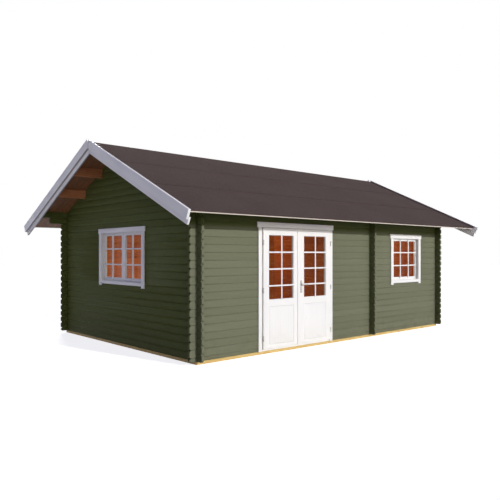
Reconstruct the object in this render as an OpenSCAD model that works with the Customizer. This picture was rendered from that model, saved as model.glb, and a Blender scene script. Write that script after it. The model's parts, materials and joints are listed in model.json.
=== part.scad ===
// Garden log cabin: interlocking log walls, a glazed double door, two windows and a felted gable roof.
// Millimetres. The origin is at ground level in the middle of the cabin, the front faces -Y, +Z is up.

/* [Walls] */
// Length of the log walls along the front, outer face to outer face
wall_len = 6420; // [6200:10:7400]
// Depth of the log walls, outer face to outer face
wall_dep = 4380; // [4000:10:4800]
// Whole logs in the front and back walls, above their first half log
wall_logs = 20; // [19:1:22]
// Left corner to the near face of the partition wall
partition_from_left = 4026; // [3600:1:4150]
// Width of the open doorway in the partition
inner_door_w = 800; // [700:10:1000]

/* [Logs] */
// Thickness of a log
log_t = 44; // [40:1:58]
// Height of one course of logs
course = 114; // [108:1:122]
// Width of the tongue along the top of a log
tongue_w = 16; // [10:1:20]
// Height of the tongue
tongue_h = 10; // [6:1:14]
// Chamfer that makes the V joint between two logs
joint_v = 4; // [2:0.5:8]
// Reach of the crossed log ends past the wall
end_out = 120; // [90:5:160]
// Chamfer on the crossed log ends
end_chamfer = 25; // [10:1:27]
// Reach of the second log from the top, which steps out under the eave log
corbel_out = 350; // [250:10:420]
// Clearance between pieces that seat on each other
fit = 0.3; // [0.2:0.05:0.5]

/* [Base] */
// Height of the foundation beams and the floor joists
beam_h = 45; // [40:1:70]
// Width of the foundation beams and the floor joists
beam_w = 60; // [54:1:90]
// Joists under the floor of each room
joists = 6; // [4:1:8]
// Thickness of the floor boards
floor_t = 18; // [16:1:28]
// Gap between the floor and the walls
floor_gap = 8; // [4:1:12]

/* [Roof] */
// Slope of the roof in degrees
pitch = 24.8; // [20:0.1:28]
// Reach of the roof boards past the front and back walls, measured level
eave_out = 550; // [400:5:650]
// Reach of the barge boards past the gable walls
gable_out = 600; // [460:5:700]
// Thickness of the roof boards
roof_t = 18; // [15:1:25]
// Thickness of one layer of roofing felt
felt_t = 4; // [2:0.5:6]
// Overlap of one strip of felt on the next
felt_lap = 100; // [60:5:150]
// Width of a purlin
purlin_w = 60; // [44:1:80]
// Depth of a purlin
purlin_d = 145; // [120:1:160]
// Level distance from one purlin to the next
purlin_step = 680; // [600:5:760]
// Thickness of an outer barge board
barge_t = 38; // [18:1:45]
// Width of the outer barge board
barge_w = 138; // [110:1:170]
// Height of the outer barge board above the felt
barge_rise = 34; // [20:1:50]
// Reach of the barge boards past the turned-down felt, down the slope
barge_over = 66; // [10:1:90]
// Distance from the ridge line to the cut end of the outer barge board of the front slope
barge_cut = 45; // [1:1:60]
// Thickness of an inner barge board
inner_barge_t = 28; // [18:1:34]
// Width of an inner barge board
inner_barge_w = 100; // [80:1:140]
// Distance of an inner barge board below the roof boards
inner_barge_drop = 53; // [30:1:70]
// Thickness of the batten along the eave
batten_t = 16; // [12:1:22]
// Drop of the eave batten below the roof boards
batten_drop = 6; // [2:1:12]

/* [Door] */
// Left corner to the door opening
door_from_left = 1194; // [900:1:1500]
// Width of the door opening in the logs
door_w = 1702; // [1500:1:1900]
// Whole logs beside the door opening, above the half log
door_logs = 17; // [16:1:18]
// Thickness of the door jambs
jamb_t = 50; // [44:1:60]
// Thickness of the head of the door frame
head_t = 65; // [63:1:75]
// Reach of the frames past the inner face of the wall
frame_in = 14; // [6:1:30]
// Height of the threshold
threshold_h = 30; // [22:1:45]
// Thickness of a door leaf
leaf_t = 44; // [38:1:50]
// Distance that the closed leaves stand proud of the wall
leaf_proud = 40; // [20:1:42]
// Gap round each leaf
leaf_gap = 5; // [5:0.5:7]
// Gap between the two leaves
meeting_gap = 8; // [5:0.5:10]
// Distance of that gap to the left of the middle of the door
meeting_off = 30; // [0:1:40]
// Taper of the meeting edges, so that the leaves pass each other
lead_taper = 3; // [3:0.5:5]
// Width of the upright stiles of a leaf
stile_w = 120; // [100:1:140]
// Height of the top rail of a leaf
top_rail = 110; // [90:1:140]
// Bottom of the leaf to the top of its lower panel
panel_top = 657; // [560:1:700]
// Height of the rail between panel and glass
lock_rail = 107; // [90:1:140]
// Height of the bottom rail of a leaf
bottom_rail = 62; // [55:1:140]
// Thickness of the lower panel
panel_t = 16; // [12:1:20]
// Distance that the raised field of the lower panel stands proud of the leaf
field_proud = 6; // [2:1:10]
// Gap round the raised field
field_gap = 2; // [1:0.5:4]
// Depth of the grooves that hold glass and panel
groove_d = 9; // [6:1:12]
// Thickness of the glass
glass_t = 4; // [3:0.5:6]
// Width of the door stops
stop_w = 15; // [12:1:22]

/* [Hinges and handle] */
// Radius of a hinge barrel
barrel_r = 7; // [6:0.5:8]
// Height of each half of a hinge barrel
barrel_h = 40; // [26:1:48]
// Radius of the hinge pin
pin_r = 4; // [3:0.25:4.5]
// Radial running clearance of the hinge pin
pin_fit = 0.06; // [0.03:0.01:0.1]
// Distance of the hinge axis in front of the leaf
hinge_off = 8; // [8:0.5:9]
// Top of the leaf to the middle of the upper hinge
upper_hinge_inset = 229; // [150:1:300]
// Bottom of the leaf to the middle of the lower hinge
lower_hinge_inset = 168; // [120:1:300]
// Height of the lever axis above the ground
lever_z = 1056; // [950:1:1150]
// Meeting edge of the leaf to the lever axis
lever_inset = 79; // [60:1:85]
// Length of the lever
lever_len = 120; // [100:1:135]
// Radius of the lever bar
lever_r = 8; // [6:0.5:10]
// Distance of the lever bar from the leaf
lever_off = 48; // [40:1:60]
// Width of the handle plates
plate_w = 40; // [34:1:50]
// Height of the handle plates
plate_h = 210; // [180:1:240]
// Thickness of the handle plates
plate_t = 7; // [4:1:9]

/* [Windows] */
// Right corner to the front window opening
window_from_right = 680; // [560:1:760]
// Width of the front window opening in the logs
front_window_w = 1013; // [900:1:1100]
// Width of the gable window opening in the logs
gable_window_w = 1492; // [1300:1:1700]
// Whole logs below the front window, above the half log
sill_logs = 8; // [7:1:9]
// Courses that the windows are tall
window_logs = 8; // [7:1:9]
// Distance of the gable window from the middle of its wall, towards the front
gable_window_off = 25; // [-100:5:100]
// Thickness of the jambs of the window frames
window_frame_t = 35; // [30:1:45]
// Thickness of the heads of the window frames
window_head_t = 48; // [30:1:60]
// Thickness of the sills of the window frames
window_sill_t = 24; // [20:1:45]
// Depth of the window frames past the inner face of the wall
window_in = 40; // [30:1:50]
// Width of the sash members
sash_w = 55; // [48:1:70]
// Thickness of a sash
sash_t = 40; // [34:1:48]

/* [Trims] */
// Thickness of the outer trims
trim_t = 20; // [19:1:26]
// Overlap of the trims on the logs
trim_lap = 25; // [15:1:30]
// Setback of the door trims from the jamb faces, which leaves room for the hinges
trim_setback = 7; // [7:0.5:10]
// Width of the side trims of the windows
window_trim_w = 82; // [70:1:90]
// Height of the head trims
head_trim_h = 86; // [84:1:100]
// Reach of the head trims past the side trims
head_trim_out = 25; // [10:1:40]
// Height of the bottom trims of the windows
sill_trim_h = 58; // [50:1:75]
// Drop of the bottom trims below the opening
sill_trim_drop = 30; // [15:1:40]
// Length of the side trims below the bottom trims
trim_ear = 33; // [15:1:45]

/* [Hidden] */

// Round things have enough sides to look round
$fn = 48;

// Finishes
olive_paint = "#6f735c";
white_paint = "#f2f2f0";
bare_pine = "#c79a62";
felt_brown = "#544a47";
steel_grey = "#a9abae";
pane = [0.7, 0.8, 0.85, 0.35];

// A cutting shape runs this far past what it cuts
over = 1;

// Planes of the walls
half_len = wall_len / 2;
half_dep = wall_dep / 2;
inner_dep = half_dep - log_t;
front_line = -half_dep + log_t / 2;
gable_line = half_len - log_t / 2;
partition_line = -half_len + partition_from_left + log_t / 2;
cross_lines = [-gable_line, partition_line, gable_line];
side_lines = [front_line, -front_line];

// Levels
lap = course / 4;
wall_top = beam_h + course / 2 + wall_logs * course;
peak_z = beam_h + wall_logs * course;
ridge_z = wall_top + inner_dep * tan(pitch);
peak_logs = ceil((ridge_z - peak_z) / course - lap / course);
floor_top = beam_h + floor_t;

// Roof: distances down the slope from the ridge and square to the slope from its underside
board_end = (half_dep + eave_out) / cos(pitch);
batten_end = board_end + fit + batten_t;
felt_low = roof_t + fit;
felt_top = felt_low + felt_t;
felt_lip = 6;
felt_strips = 3;
barge_end = batten_end + fit + felt_t + barge_over;
barge_top = felt_top + barge_rise;
barge_x = half_len + gable_out;
roof_x = barge_x - barge_t - fit;
purlin_x = roof_x - inner_barge_t - fit;
purlins_each_side = 2;

// Door
door_x0 = -half_len + door_from_left;
door_x1 = door_x0 + door_w;
door_top = beam_h + course / 2 + door_logs * course;
leaf_z0 = beam_h + fit + threshold_h + leaf_gap;
leaf_z1 = door_top - fit - head_t - leaf_gap;
left_leaf_x = door_x0 + fit + jamb_t + leaf_gap;
right_leaf_x = door_x1 - fit - jamb_t - leaf_gap;
meeting_x = (door_x0 + door_x1) / 2 - meeting_off;
left_leaf_w = meeting_x - meeting_gap / 2 - left_leaf_x;
right_leaf_w = right_leaf_x - meeting_x - meeting_gap / 2;
// The lights of the leaves are as wide as if the leaves met in the middle
light_w = (right_leaf_x - left_leaf_x - meeting_gap) / 2 - 2 * stile_w;
leaf_y = -half_dep - leaf_proud;
glass_z0 = leaf_z0 + panel_top + lock_rail;
glass_z1 = leaf_z1 - top_rail;
panel_z0 = leaf_z0 + bottom_rail;
panel_z1 = leaf_z0 + panel_top;
lower_hinge_z = leaf_z0 + lower_hinge_inset;
upper_hinge_z = leaf_z1 - upper_hinge_inset;
hinge_levels = [lower_hinge_z, (lower_hinge_z + upper_hinge_z) / 2, upper_hinge_z];
hinge_x = -leaf_gap / 2;
stem_r = 2.5;
lever_x = right_leaf_w - lever_inset;
lever_bore = 0.5;

// Windows
front_window_x = half_len - window_from_right - front_window_w / 2;
front_window_z = beam_h + course / 2 + sill_logs * course;
gable_window_z = beam_h + (sill_logs + 1) * course;
window_h = window_logs * course;
sash_y0 = log_t + window_in - sash_t;

function log_z(j) = j == 0 ? beam_h : beam_h + course / 2 + (j - 1) * course;
function log_h(j) = j == 0 ? course / 2 : course;
function roof_z(y) = wall_top + (inner_dep - abs(y)) * tan(pitch);
// Point of the front slope, s down the slope from the ridge and n square to its underside
function on_slope(s, n) = [-s * cos(pitch) - n * sin(pitch), ridge_z - s * sin(pitch) + n * cos(pitch)];
// Point of the ridge line at height n, with half of the seating gap
function at_ridge(n) = [-fit / 2, ridge_z + n / cos(pitch) - fit / 2 * tan(pitch)];

// Box between two corners
module block(x, y, z) {
    translate([x[0], y[0], z[0]])
        cube([x[1] - x[0], y[1] - y[0], z[1] - z[0]]);
}

// Shape drawn in Y and Z, drawn out along X
module along_x(x0, x1) {
    translate([x0, 0, 0])
        rotate([90, 0, 90])
            linear_extrude(x1 - x0)
                children();
}

// Shape drawn in X and Z, as thick as t about the XZ plane
module upright(t) {
    rotate([90, 0, 0])
        linear_extrude(t, center = true)
            children();
}

// Local frame of the front wall and of the left gable: x to the right seen from outside, y inwards
module at_front() {
    translate([0, -half_dep, 0])
        children();
}

module at_left_gable() {
    translate([-half_len, 0, 0])
        rotate([0, 0, -90])
            children();
}

// Cross-section of a log: V-jointed edges, a tongue on top and a groove below
module log_section(h) {
    top = h - fit;
    out = log_t / 2;
    tongue = tongue_w / 2;
    groove = tongue + fit;
    polygon([
        [-out, joint_v], [-out + joint_v, 0], [-groove, 0], [-groove, tongue_h + fit],
        [groove, tongue_h + fit], [groove, 0], [out - joint_v, 0], [out, joint_v],
        [out, top - joint_v], [out - joint_v, top], [tongue, top], [tongue, top + tongue_h],
        [-tongue, top + tongue_h], [-tongue, top], [-out + joint_v, top], [-out, top - joint_v]
    ]);
}

// Side view of a log: chamfered free ends, a lap cut at every crossing wall, no tongue over a bare stretch
module log_side(span, h, laps, crossings, free, bare) {
    top = h + tongue_h + over;
    c0 = free[0] ? end_chamfer : 0;
    c1 = free[1] ? end_chamfer : 0;
    rise0 = free[0] ? c0 + tongue_h + over : 0;
    rise1 = free[1] ? c1 + tongue_h + over : 0;
    dip0 = free[0] ? c0 + over : 0;
    dip1 = free[1] ? c1 + over : 0;
    cut_w = log_t + 2 * fit;
    difference() {
        polygon([
            [span[0], dip0 - over], [span[0] + dip0, -over], [span[1] - dip1, -over], [span[1], dip1 - over],
            [span[1], top - rise1], [span[1] - rise1, top], [span[0] + rise0, top], [span[0], top - rise0]
        ]);
        for (c = crossings) {
            if (laps[0] > 0)
                translate([c - cut_w / 2, -2 * over])
                    square([cut_w, laps[0] + fit / 2 + 2 * over]);
            if (laps[1] > 0)
                translate([c - cut_w / 2, h - laps[1] - fit / 2])
                    square([cut_w, laps[1] + tongue_h + 3 * over]);
        }
        for (b = bare)
            translate([b[0], h - fit])
                square([b[1] - b[0], tongue_h + 3 * over]);
    }
}

// One log along X, its foot at z = 0, its middle on the XZ plane
module log(span, h, laps, crossings = [], free = [true, true], bare = []) {
    intersection() {
        along_x(span[0] - over, span[1] + over)
            log_section(h);
        upright(log_t + 2 * over)
            log_side(span, h, laps, crossings, free, bare);
    }
}

// Log j of the front or back wall
module long_log(j, line, span, crossings, free = [true, true], bare = []) {
    translate([0, line, log_z(j)])
        log(span, log_h(j), [j == 0 ? 0 : lap, lap], crossings, free, bare);
}

// Eave log: its top follows the slope of the roof
module eave_log() {
    h = course;
    out = log_t / 2;
    translate([0, front_line, log_z(wall_logs)])
        intersection() {
            along_x(-purlin_x, purlin_x)
                difference() {
                    polygon([
                        [-out, joint_v], [-out + joint_v, 0], [out - joint_v, 0], [out, joint_v],
                        [out, h - fit], [-out, h - fit - log_t * tan(pitch)]
                    ]);
                    translate([-tongue_w / 2 - fit, -over])
                        square([tongue_w + 2 * fit, tongue_h + fit + over]);
                }
            upright(log_t + 2 * over)
                log_side([-purlin_x, purlin_x], h, [lap, 0], cross_lines, [false, false], []);
        }
}

// Log k of a gable or of the partition, along Y at x = line
module cross_log(k, line, span, crossings, free = [true, true], bare = []) {
    translate([line, 0, beam_h + k * course])
        rotate([0, 0, 90])
            log(span, course, [lap, lap], crossings, free, bare);
}

// Last whole log of a gable or of the partition: its ends are cut under the roof
module last_cross_log(line) {
    reach = half_dep + end_out;
    intersection() {
        cross_log(wall_logs - 1, line, [-reach, reach], side_lines);
        translate([line, 0, 0])
            rotate([0, 0, 90])
                upright(log_t + 4 * over)
                    under_roof(half_dep + 2 * end_out);
    }
}

// Outline of the space under the roof, in Y and Z
module under_roof(reach) {
    polygon([
        [-reach, 0], [reach, 0], [reach, roof_z(reach) - fit], [0, ridge_z - fit], [-reach, roof_z(reach) - fit]
    ]);
}

// Cross-section of the purlin at distance y from the ridge line, its top cut to the slope
module purlin_section(y) {
    intersection() {
        translate([y - purlin_w / 2, roof_z(y) - purlin_d])
            square([purlin_w, 2 * purlin_d]);
        under_roof(half_dep);
    }
}

// Logs of a gable above the eaves, cut under the roof and round the purlins
module peak(line) {
    reach = inner_dep - fit;
    for (k = [0 : peak_logs - 1])
        translate([line, 0, 0])
            rotate([0, 0, 90])
                intersection() {
                    translate([0, 0, peak_z + k * course])
                        along_x(-half_dep, half_dep)
                            log_section(course);
                    upright(log_t + 2 * over)
                        peak_side(peak_z + k * course, reach);
                }
}

// Side view of one log of the peak with its foot at z
module peak_side(z, reach) {
    difference() {
        intersection() {
            translate([-reach, z - over])
                square([2 * reach, course + tongue_h + 2 * over]);
            under_roof(half_dep);
        }
        for (i = [-purlins_each_side : purlins_each_side])
            translate([i * purlin_step - purlin_w / 2 - fit, roof_z(i * purlin_step) - purlin_d - fit])
                square([purlin_w + 2 * fit, 3 * purlin_d]);
    }
}

// Base and floor

module foundation_beams() {
    z = [0, beam_h - fit];
    between = half_dep - beam_w - fit;
    color(bare_pine) {
        block([-half_len, half_len], [-half_dep, -half_dep + beam_w], z);
        block([-half_len, half_len], [half_dep - beam_w, half_dep], z);
        for (x = [-half_len + beam_w / 2, partition_line, half_len - beam_w / 2])
            block([x - beam_w / 2, x + beam_w / 2], [-between, between], z);
    }
}

// Left and right edge of each room at the level of the walls
rooms = [
    [-half_len + log_t, partition_line - log_t / 2],
    [partition_line + log_t / 2, half_len - log_t]
];
beam_over = beam_w - log_t;

module floor_joists() {
    step = (wall_dep - 2 * beam_w) / (joists + 1);
    // The partition's beam is centred under its wall, so it reaches half as far into each room
    left_room = [rooms[0][0] + beam_over + fit, rooms[0][1] - beam_over / 2 - fit];
    right_room = [rooms[1][0] + beam_over / 2 + fit, rooms[1][1] - beam_over - fit];
    color(bare_pine)
        for (room = [left_room, right_room], i = [1 : joists])
            translate([0, -half_dep + beam_w + i * step, 0])
                block(room, [-beam_w / 2, beam_w / 2], [0, beam_h - fit]);
}

module floor_boards() {
    edge = inner_dep - floor_gap;
    color(bare_pine)
        difference() {
            for (room = rooms)
                block([room[0] + floor_gap, room[1] - floor_gap], [-edge, edge], [beam_h, floor_top]);
            // The floor stops at the door frame
            at_front()
                block([door_x0 - fit, door_x1 + fit], [0, log_t + frame_in + fit], [0, 2 * floor_top]);
        }
}

// Log walls

module front_wall_left_logs() {
    color(olive_paint)
        for (j = [0 : door_logs])
            long_log(j, front_line, [-half_len - end_out, door_x0], [-gable_line], [true, false]);
}

module front_wall_right_logs() {
    x0 = front_window_x - front_window_w / 2;
    x1 = front_window_x + front_window_w / 2;
    right_end = half_len + end_out;
    color(olive_paint)
        for (j = [0 : door_logs]) {
            beside_window = j > sill_logs && j <= sill_logs + window_logs;
            bare = j == sill_logs ? [[x0, x1]] : [];
            if (beside_window) {
                long_log(j, front_line, [door_x1, x0], [partition_line], [false, false]);
                long_log(j, front_line, [x1, right_end], [gable_line], [false, true]);
            } else {
                long_log(j, front_line, [door_x1, right_end], [partition_line, gable_line], [false, true], bare);
            }
        }
}

// Reach of log j past the gable walls where no opening cuts it
function reach_out(j) = j == wall_logs - 1 ? corbel_out : end_out;

module front_wall_top_logs() {
    color(olive_paint) {
        for (j = [door_logs + 1 : wall_logs - 1])
            long_log(j, front_line, [-half_len - reach_out(j), half_len + reach_out(j)], cross_lines);
        eave_log();
    }
}

module back_wall_logs() {
    color(olive_paint) {
        for (j = [0 : wall_logs - 1])
            long_log(j, -front_line, [-half_len - reach_out(j), half_len + reach_out(j)], cross_lines);
        mirror([0, 1, 0])
            eave_log();
    }
}

module left_gable_logs() {
    reach = half_dep + end_out;
    near = -gable_window_off - gable_window_w / 2;
    far = near + gable_window_w;
    color(olive_paint) {
        for (k = [0 : wall_logs - 2]) {
            beside_window = k > sill_logs && k <= sill_logs + window_logs;
            bare = k == sill_logs ? [[near, far]] : [];
            if (beside_window) {
                cross_log(k, -gable_line, [-reach, near], [front_line], [true, false]);
                cross_log(k, -gable_line, [far, reach], [-front_line], [false, true]);
            } else {
                cross_log(k, -gable_line, [-reach, reach], side_lines, [true, true], bare);
            }
        }
        last_cross_log(-gable_line);
    }
}

module left_gable_peak_logs() {
    color(olive_paint)
        peak(-gable_line);
}

module right_gable_logs() {
    reach = half_dep + end_out;
    color(olive_paint) {
        for (k = [0 : wall_logs - 2])
            cross_log(k, gable_line, [-reach, reach], side_lines);
        last_cross_log(gable_line);
    }
}

module right_gable_peak_logs() {
    color(olive_paint)
        peak(gable_line);
}

module partition_logs() {
    reach = half_dep + end_out;
    edge = inner_door_w / 2;
    color(olive_paint) {
        for (k = [0 : wall_logs - 2]) {
            if (k < door_logs) {
                cross_log(k, partition_line, [-reach, -edge], [front_line], [true, false]);
                cross_log(k, partition_line, [edge, reach], [-front_line], [false, true]);
            } else {
                cross_log(k, partition_line, [-reach, reach], side_lines);
            }
        }
        last_cross_log(partition_line);
    }
}

module partition_peak_logs() {
    color(olive_paint)
        peak(partition_line);
}

// Roof

module ridge_purlin() {
    color(bare_pine)
        along_x(-purlin_x, purlin_x)
            purlin_section(0);
}

module side_purlins() {
    color(bare_pine)
        for (side = [-1, 1], i = [1 : purlins_each_side])
            along_x(-purlin_x, purlin_x)
                purlin_section(side * i * purlin_step);
}

module front_roof_boards() {
    color(bare_pine)
        along_x(-roof_x, roof_x)
            polygon([at_ridge(0), at_ridge(roof_t), on_slope(board_end, roof_t), on_slope(board_end, 0)]);
}

module back_roof_boards() {
    mirror([0, 1, 0])
        front_roof_boards();
}

// Felt in lapped strips, turned down over the eave batten
module front_roof_felt() {
    lip_s = batten_end + fit;
    lap_lines = [for (i = [felt_strips - 1 : -1 : 1]) board_end * i / felt_strips];
    lap_steps = [
        for (s = lap_lines)
            each [
                on_slope(s, felt_top), on_slope(s, felt_top + felt_t),
                on_slope(s - felt_lap, felt_top + felt_t), on_slope(s - felt_lap, felt_top)
            ]
    ];
    color(felt_brown)
        along_x(-roof_x, roof_x)
            polygon(concat(
                [at_ridge(felt_low), on_slope(lip_s, felt_low), on_slope(lip_s, roof_t - felt_lip)],
                [on_slope(lip_s + felt_t, roof_t - felt_lip), on_slope(lip_s + felt_t, felt_top)],
                lap_steps,
                [at_ridge(felt_top)]
            ));
}

module back_roof_felt() {
    mirror([0, 1, 0])
        front_roof_felt();
}

module eave_battens() {
    color(white_paint)
        for (side = [0, 1])
            mirror([0, side, 0])
                along_x(-purlin_x, purlin_x)
                    polygon([
                        on_slope(board_end + fit, -batten_drop), on_slope(board_end + fit, roof_t),
                        on_slope(batten_end, roof_t), on_slope(batten_end, -batten_drop)
                    ]);
}

// Board that follows the front slope, from n0 to n1 square to it, cut upright at its upper end
module slope_board(x0, x1, n0, n1) {
    along_x(x0, x1)
        polygon([at_ridge(n0), at_ridge(n1), on_slope(barge_end, n1), on_slope(barge_end, n0)]);
}

module right_barge_boards() {
    color(white_paint)
        for (side = [0, 1])
            mirror([0, side, 0])
                difference() {
                    slope_board(barge_x - barge_t, barge_x, barge_top - barge_w, barge_top);
                    if (side == 0)
                        block([0, 2 * barge_x], [-barge_cut, half_dep], [0, 2 * ridge_z]);
                }
}

module left_barge_boards() {
    mirror([1, 0, 0])
        right_barge_boards();
}

module inner_barge_boards() {
    color(white_paint)
        for (end = [0, 1], side = [0, 1])
            mirror([end, 0, 0])
                mirror([0, side, 0])
                    slope_board(purlin_x + fit, roof_x, -inner_barge_drop - inner_barge_w, -inner_barge_drop);
}

// Door frame

module door_frame() {
    depth = [0, log_t + frame_in];
    inner_x = [door_x0 + fit + jamb_t, door_x1 - fit - jamb_t];
    color(white_paint)
        at_front() {
            block([door_x0 + fit, inner_x[0]], depth, [beam_h + fit, door_top - fit]);
            block([inner_x[1], door_x1 - fit], depth, [beam_h + fit, door_top - fit]);
            block([inner_x[0] + fit, inner_x[1] - fit], depth, [door_top - fit - head_t, door_top - fit]);
            block([inner_x[0] + fit, inner_x[1] - fit], depth, [beam_h + fit, beam_h + fit + threshold_h]);
        }
}

module door_stops() {
    y = [leaf_t - leaf_proud + leaf_gap, log_t + frame_in];
    x0 = door_x0 + 2 * fit + jamb_t;
    x1 = door_x1 - 2 * fit - jamb_t;
    z = [beam_h + 2 * fit + threshold_h, door_top - 2 * fit - head_t];
    color(white_paint)
        at_front() {
            block([x0, x0 + stop_w], y, z);
            block([x1 - stop_w, x1], y, z);
            block([x0 + stop_w + fit, x1 - stop_w - fit], y, [z[1] - stop_w, z[1]]);
        }
}

module door_trim() {
    y = [-trim_t - fit, -fit];
    trim_w = trim_lap + fit + jamb_t - trim_setback;
    x0 = door_x0 - trim_lap;
    x1 = door_x1 + trim_lap;
    head_z = leaf_z1 + leaf_gap + 2 * fit;
    color(white_paint)
        at_front() {
            block([x0, x0 + trim_w], y, [beam_h, head_z - fit]);
            block([x1 - trim_w, x1], y, [beam_h, head_z - fit]);
            block([x0 - head_trim_out, x1 + head_trim_out], y, [head_z, head_z + head_trim_h]);
        }
}

// Door leaves: hinge edge at x = 0, outer face at y = 0, drawn for the left leaf

module at_left_leaf() {
    translate([left_leaf_x, leaf_y, 0])
        children();
}

module at_right_leaf() {
    translate([right_leaf_x, leaf_y, 0])
        mirror([1, 0, 0])
            children();
}

// Light in the leaf between the stiles, with the groove that holds a sheet of thickness t
module leaf_light(z0, z1, t) {
    middle = leaf_t / 2;
    block([stile_w, stile_w + light_w], [-over, leaf_t + over], [z0, z1]);
    block(
        [stile_w - groove_d, stile_w + light_w + groove_d],
        [middle - t / 2 - fit, middle + t / 2 + fit],
        [z0 - groove_d, z1 + groove_d]
    );
}

module leaf(w) {
    difference() {
        translate([0, 0, leaf_z0])
            linear_extrude(leaf_z1 - leaf_z0)
                polygon([[0, 0], [w, 0], [w - lead_taper, leaf_t], [0, leaf_t]]);
        leaf_light(panel_z0, panel_z1, panel_t);
        leaf_light(glass_z0, glass_z1, glass_t);
    }
}

// Sheet that fills a light, seated in its groove
module leaf_sheet(z0, z1, t) {
    seat = groove_d - fit;
    block(
        [stile_w - seat, stile_w + light_w + seat],
        [leaf_t / 2 - t / 2, leaf_t / 2 + t / 2],
        [z0 - seat, z1 + seat]
    );
}

// Lower panel: a sheet in the groove with a raised field on its outer face
module leaf_panel() {
    leaf_sheet(panel_z0, panel_z1, panel_t);
    block(
        [stile_w + field_gap, stile_w + light_w - field_gap],
        [-field_proud, leaf_t / 2],
        [panel_z0 + field_gap, panel_z1 - field_gap]
    );
}

// Upper halves of the hinges: barrel with a pin bore, on a stem that is screwed to the leaf
module leaf_hinge_halves() {
    stem_x = stem_r + fit;
    for (z = hinge_levels)
        difference() {
            union() {
                translate([hinge_x, -hinge_off, z + fit])
                    cylinder(h = barrel_h, r = barrel_r);
                translate([stem_x, -hinge_off, z + barrel_h / 2])
                    rotate([-90, 0, 0])
                        cylinder(h = hinge_off - fit, r = stem_r);
            }
            translate([hinge_x, -hinge_off, z - over])
                cylinder(h = barrel_h - pin_r + over, r = pin_r + pin_fit);
        }
}

// Lower halves of the hinges: barrel with the pin, on a stem that is screwed to the jamb
module jamb_hinge_halves() {
    stem_x = -leaf_gap - trim_setback / 2;
    for (z = hinge_levels) {
        translate([hinge_x, -hinge_off, z - barrel_h])
            cylinder(h = barrel_h, r = barrel_r);
        translate([hinge_x, -hinge_off, z - over])
            cylinder(h = barrel_h - 2 * pin_r + over, r = pin_r);
        translate([stem_x, -hinge_off, z - barrel_h / 2])
            rotate([-90, 0, 0])
                cylinder(h = hinge_off + leaf_proud - fit, r = stem_r);
    }
}

module frame_hinge_halves() {
    color(steel_grey) {
        at_left_leaf()
            jamb_hinge_halves();
        at_right_leaf()
            jamb_hinge_halves();
    }
}

module left_door_leaf() {
    color(white_paint)
        at_left_leaf()
            leaf(left_leaf_w);
}

module left_door_panel() {
    color(white_paint)
        at_left_leaf()
            leaf_panel();
}

module left_door_glass() {
    color(pane)
        at_left_leaf()
            leaf_sheet(glass_z0, glass_z1, glass_t);
}

module left_door_hinge_halves() {
    color(steel_grey)
        at_left_leaf()
            leaf_hinge_halves();
}

module right_door_leaf() {
    color(white_paint)
        at_right_leaf()
            difference() {
                leaf(right_leaf_w);
                translate([lever_x, -over, lever_z])
                    rotate([-90, 0, 0])
                        cylinder(h = leaf_t + 2 * over, r = lever_r + 2 * lever_bore);
            }
}

module right_door_panel() {
    color(white_paint)
        at_right_leaf()
            leaf_panel();
}

module right_door_glass() {
    color(pane)
        at_right_leaf()
            leaf_sheet(glass_z0, glass_z1, glass_t);
}

module right_door_hinge_halves() {
    color(steel_grey)
        at_right_leaf()
            leaf_hinge_halves();
}

// Plates on both faces of the right leaf, rounded at top and bottom, with the bore of the lever
module handle_plates() {
    straight = plate_h - plate_w;
    top_z = lever_z + plate_h * 0.35 - plate_w / 2;
    color(steel_grey)
        at_right_leaf()
            for (y = [-plate_t / 2 - fit, leaf_t + plate_t / 2 + fit])
                translate([lever_x, y, 0])
                    upright(plate_t)
                        difference() {
                            union() {
                                translate([-plate_w / 2, top_z - straight])
                                    square([plate_w, straight]);
                                for (z = [top_z, top_z - straight])
                                    translate([0, z])
                                        circle(r = plate_w / 2);
                            }
                            translate([0, lever_z])
                                circle(r = lever_r + lever_bore);
                        }
}

// Lever on each face, joined by the spindle through the leaf
module door_lever() {
    color(steel_grey)
        at_right_leaf()
            translate([lever_x, 0, lever_z]) {
                translate([0, -lever_off, 0])
                    rotate([-90, 0, 0])
                        cylinder(h = leaf_t + 2 * lever_off, r = lever_r);
                for (y = [-lever_off, leaf_t + lever_off])
                    translate([0, y, 0]) {
                        sphere(r = lever_r);
                        rotate([0, -90, 0])
                            cylinder(h = lever_len - lever_r, r = lever_r);
                        translate([-lever_len + lever_r, 0, 0])
                            sphere(r = lever_r);
                    }
            }
}

// Windows: middle of the opening at x = 0, its lower edge at z, outer wall face at y = 0

module window_frame(w, z) {
    y = [0, log_t + window_in];
    edge = w / 2 - fit;
    inner = edge - window_frame_t;
    low = z + fit;
    high = z + window_h - fit;
    block([-edge, -inner], y, [low, high]);
    block([inner, edge], y, [low, high]);
    block([-inner + fit, inner - fit], y, [low, low + window_sill_t]);
    block([-inner + fit, inner - fit], y, [high - window_head_t, high]);
}

function sash_z(z) = [z + 2 * fit + window_sill_t, z + window_h - 2 * fit - window_head_t];
// Clear half width between the jambs, and the edges of the sashes that share it
function clear_half(w) = w / 2 - window_frame_t - 2 * fit;
function sash_spans(w, count) = [
    for (i = [0 : count - 1])
        let (c = clear_half(w), each_w = (2 * c - (count - 1) * fit) / count, x = -c + i * (each_w + fit))
            [x, x + each_w]
];

module sash(x, z) {
    y = [sash_y0, sash_y0 + sash_t];
    middle = sash_y0 + sash_t / 2;
    inset = sash_w - groove_d;
    difference() {
        block(x, y, z);
        block([x[0] + sash_w, x[1] - sash_w], y + [-over, over], [z[0] + sash_w, z[1] - sash_w]);
        block(
            [x[0] + inset, x[1] - inset],
            [middle - glass_t / 2 - fit, middle + glass_t / 2 + fit],
            [z[0] + inset, z[1] - inset]
        );
    }
}

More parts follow.
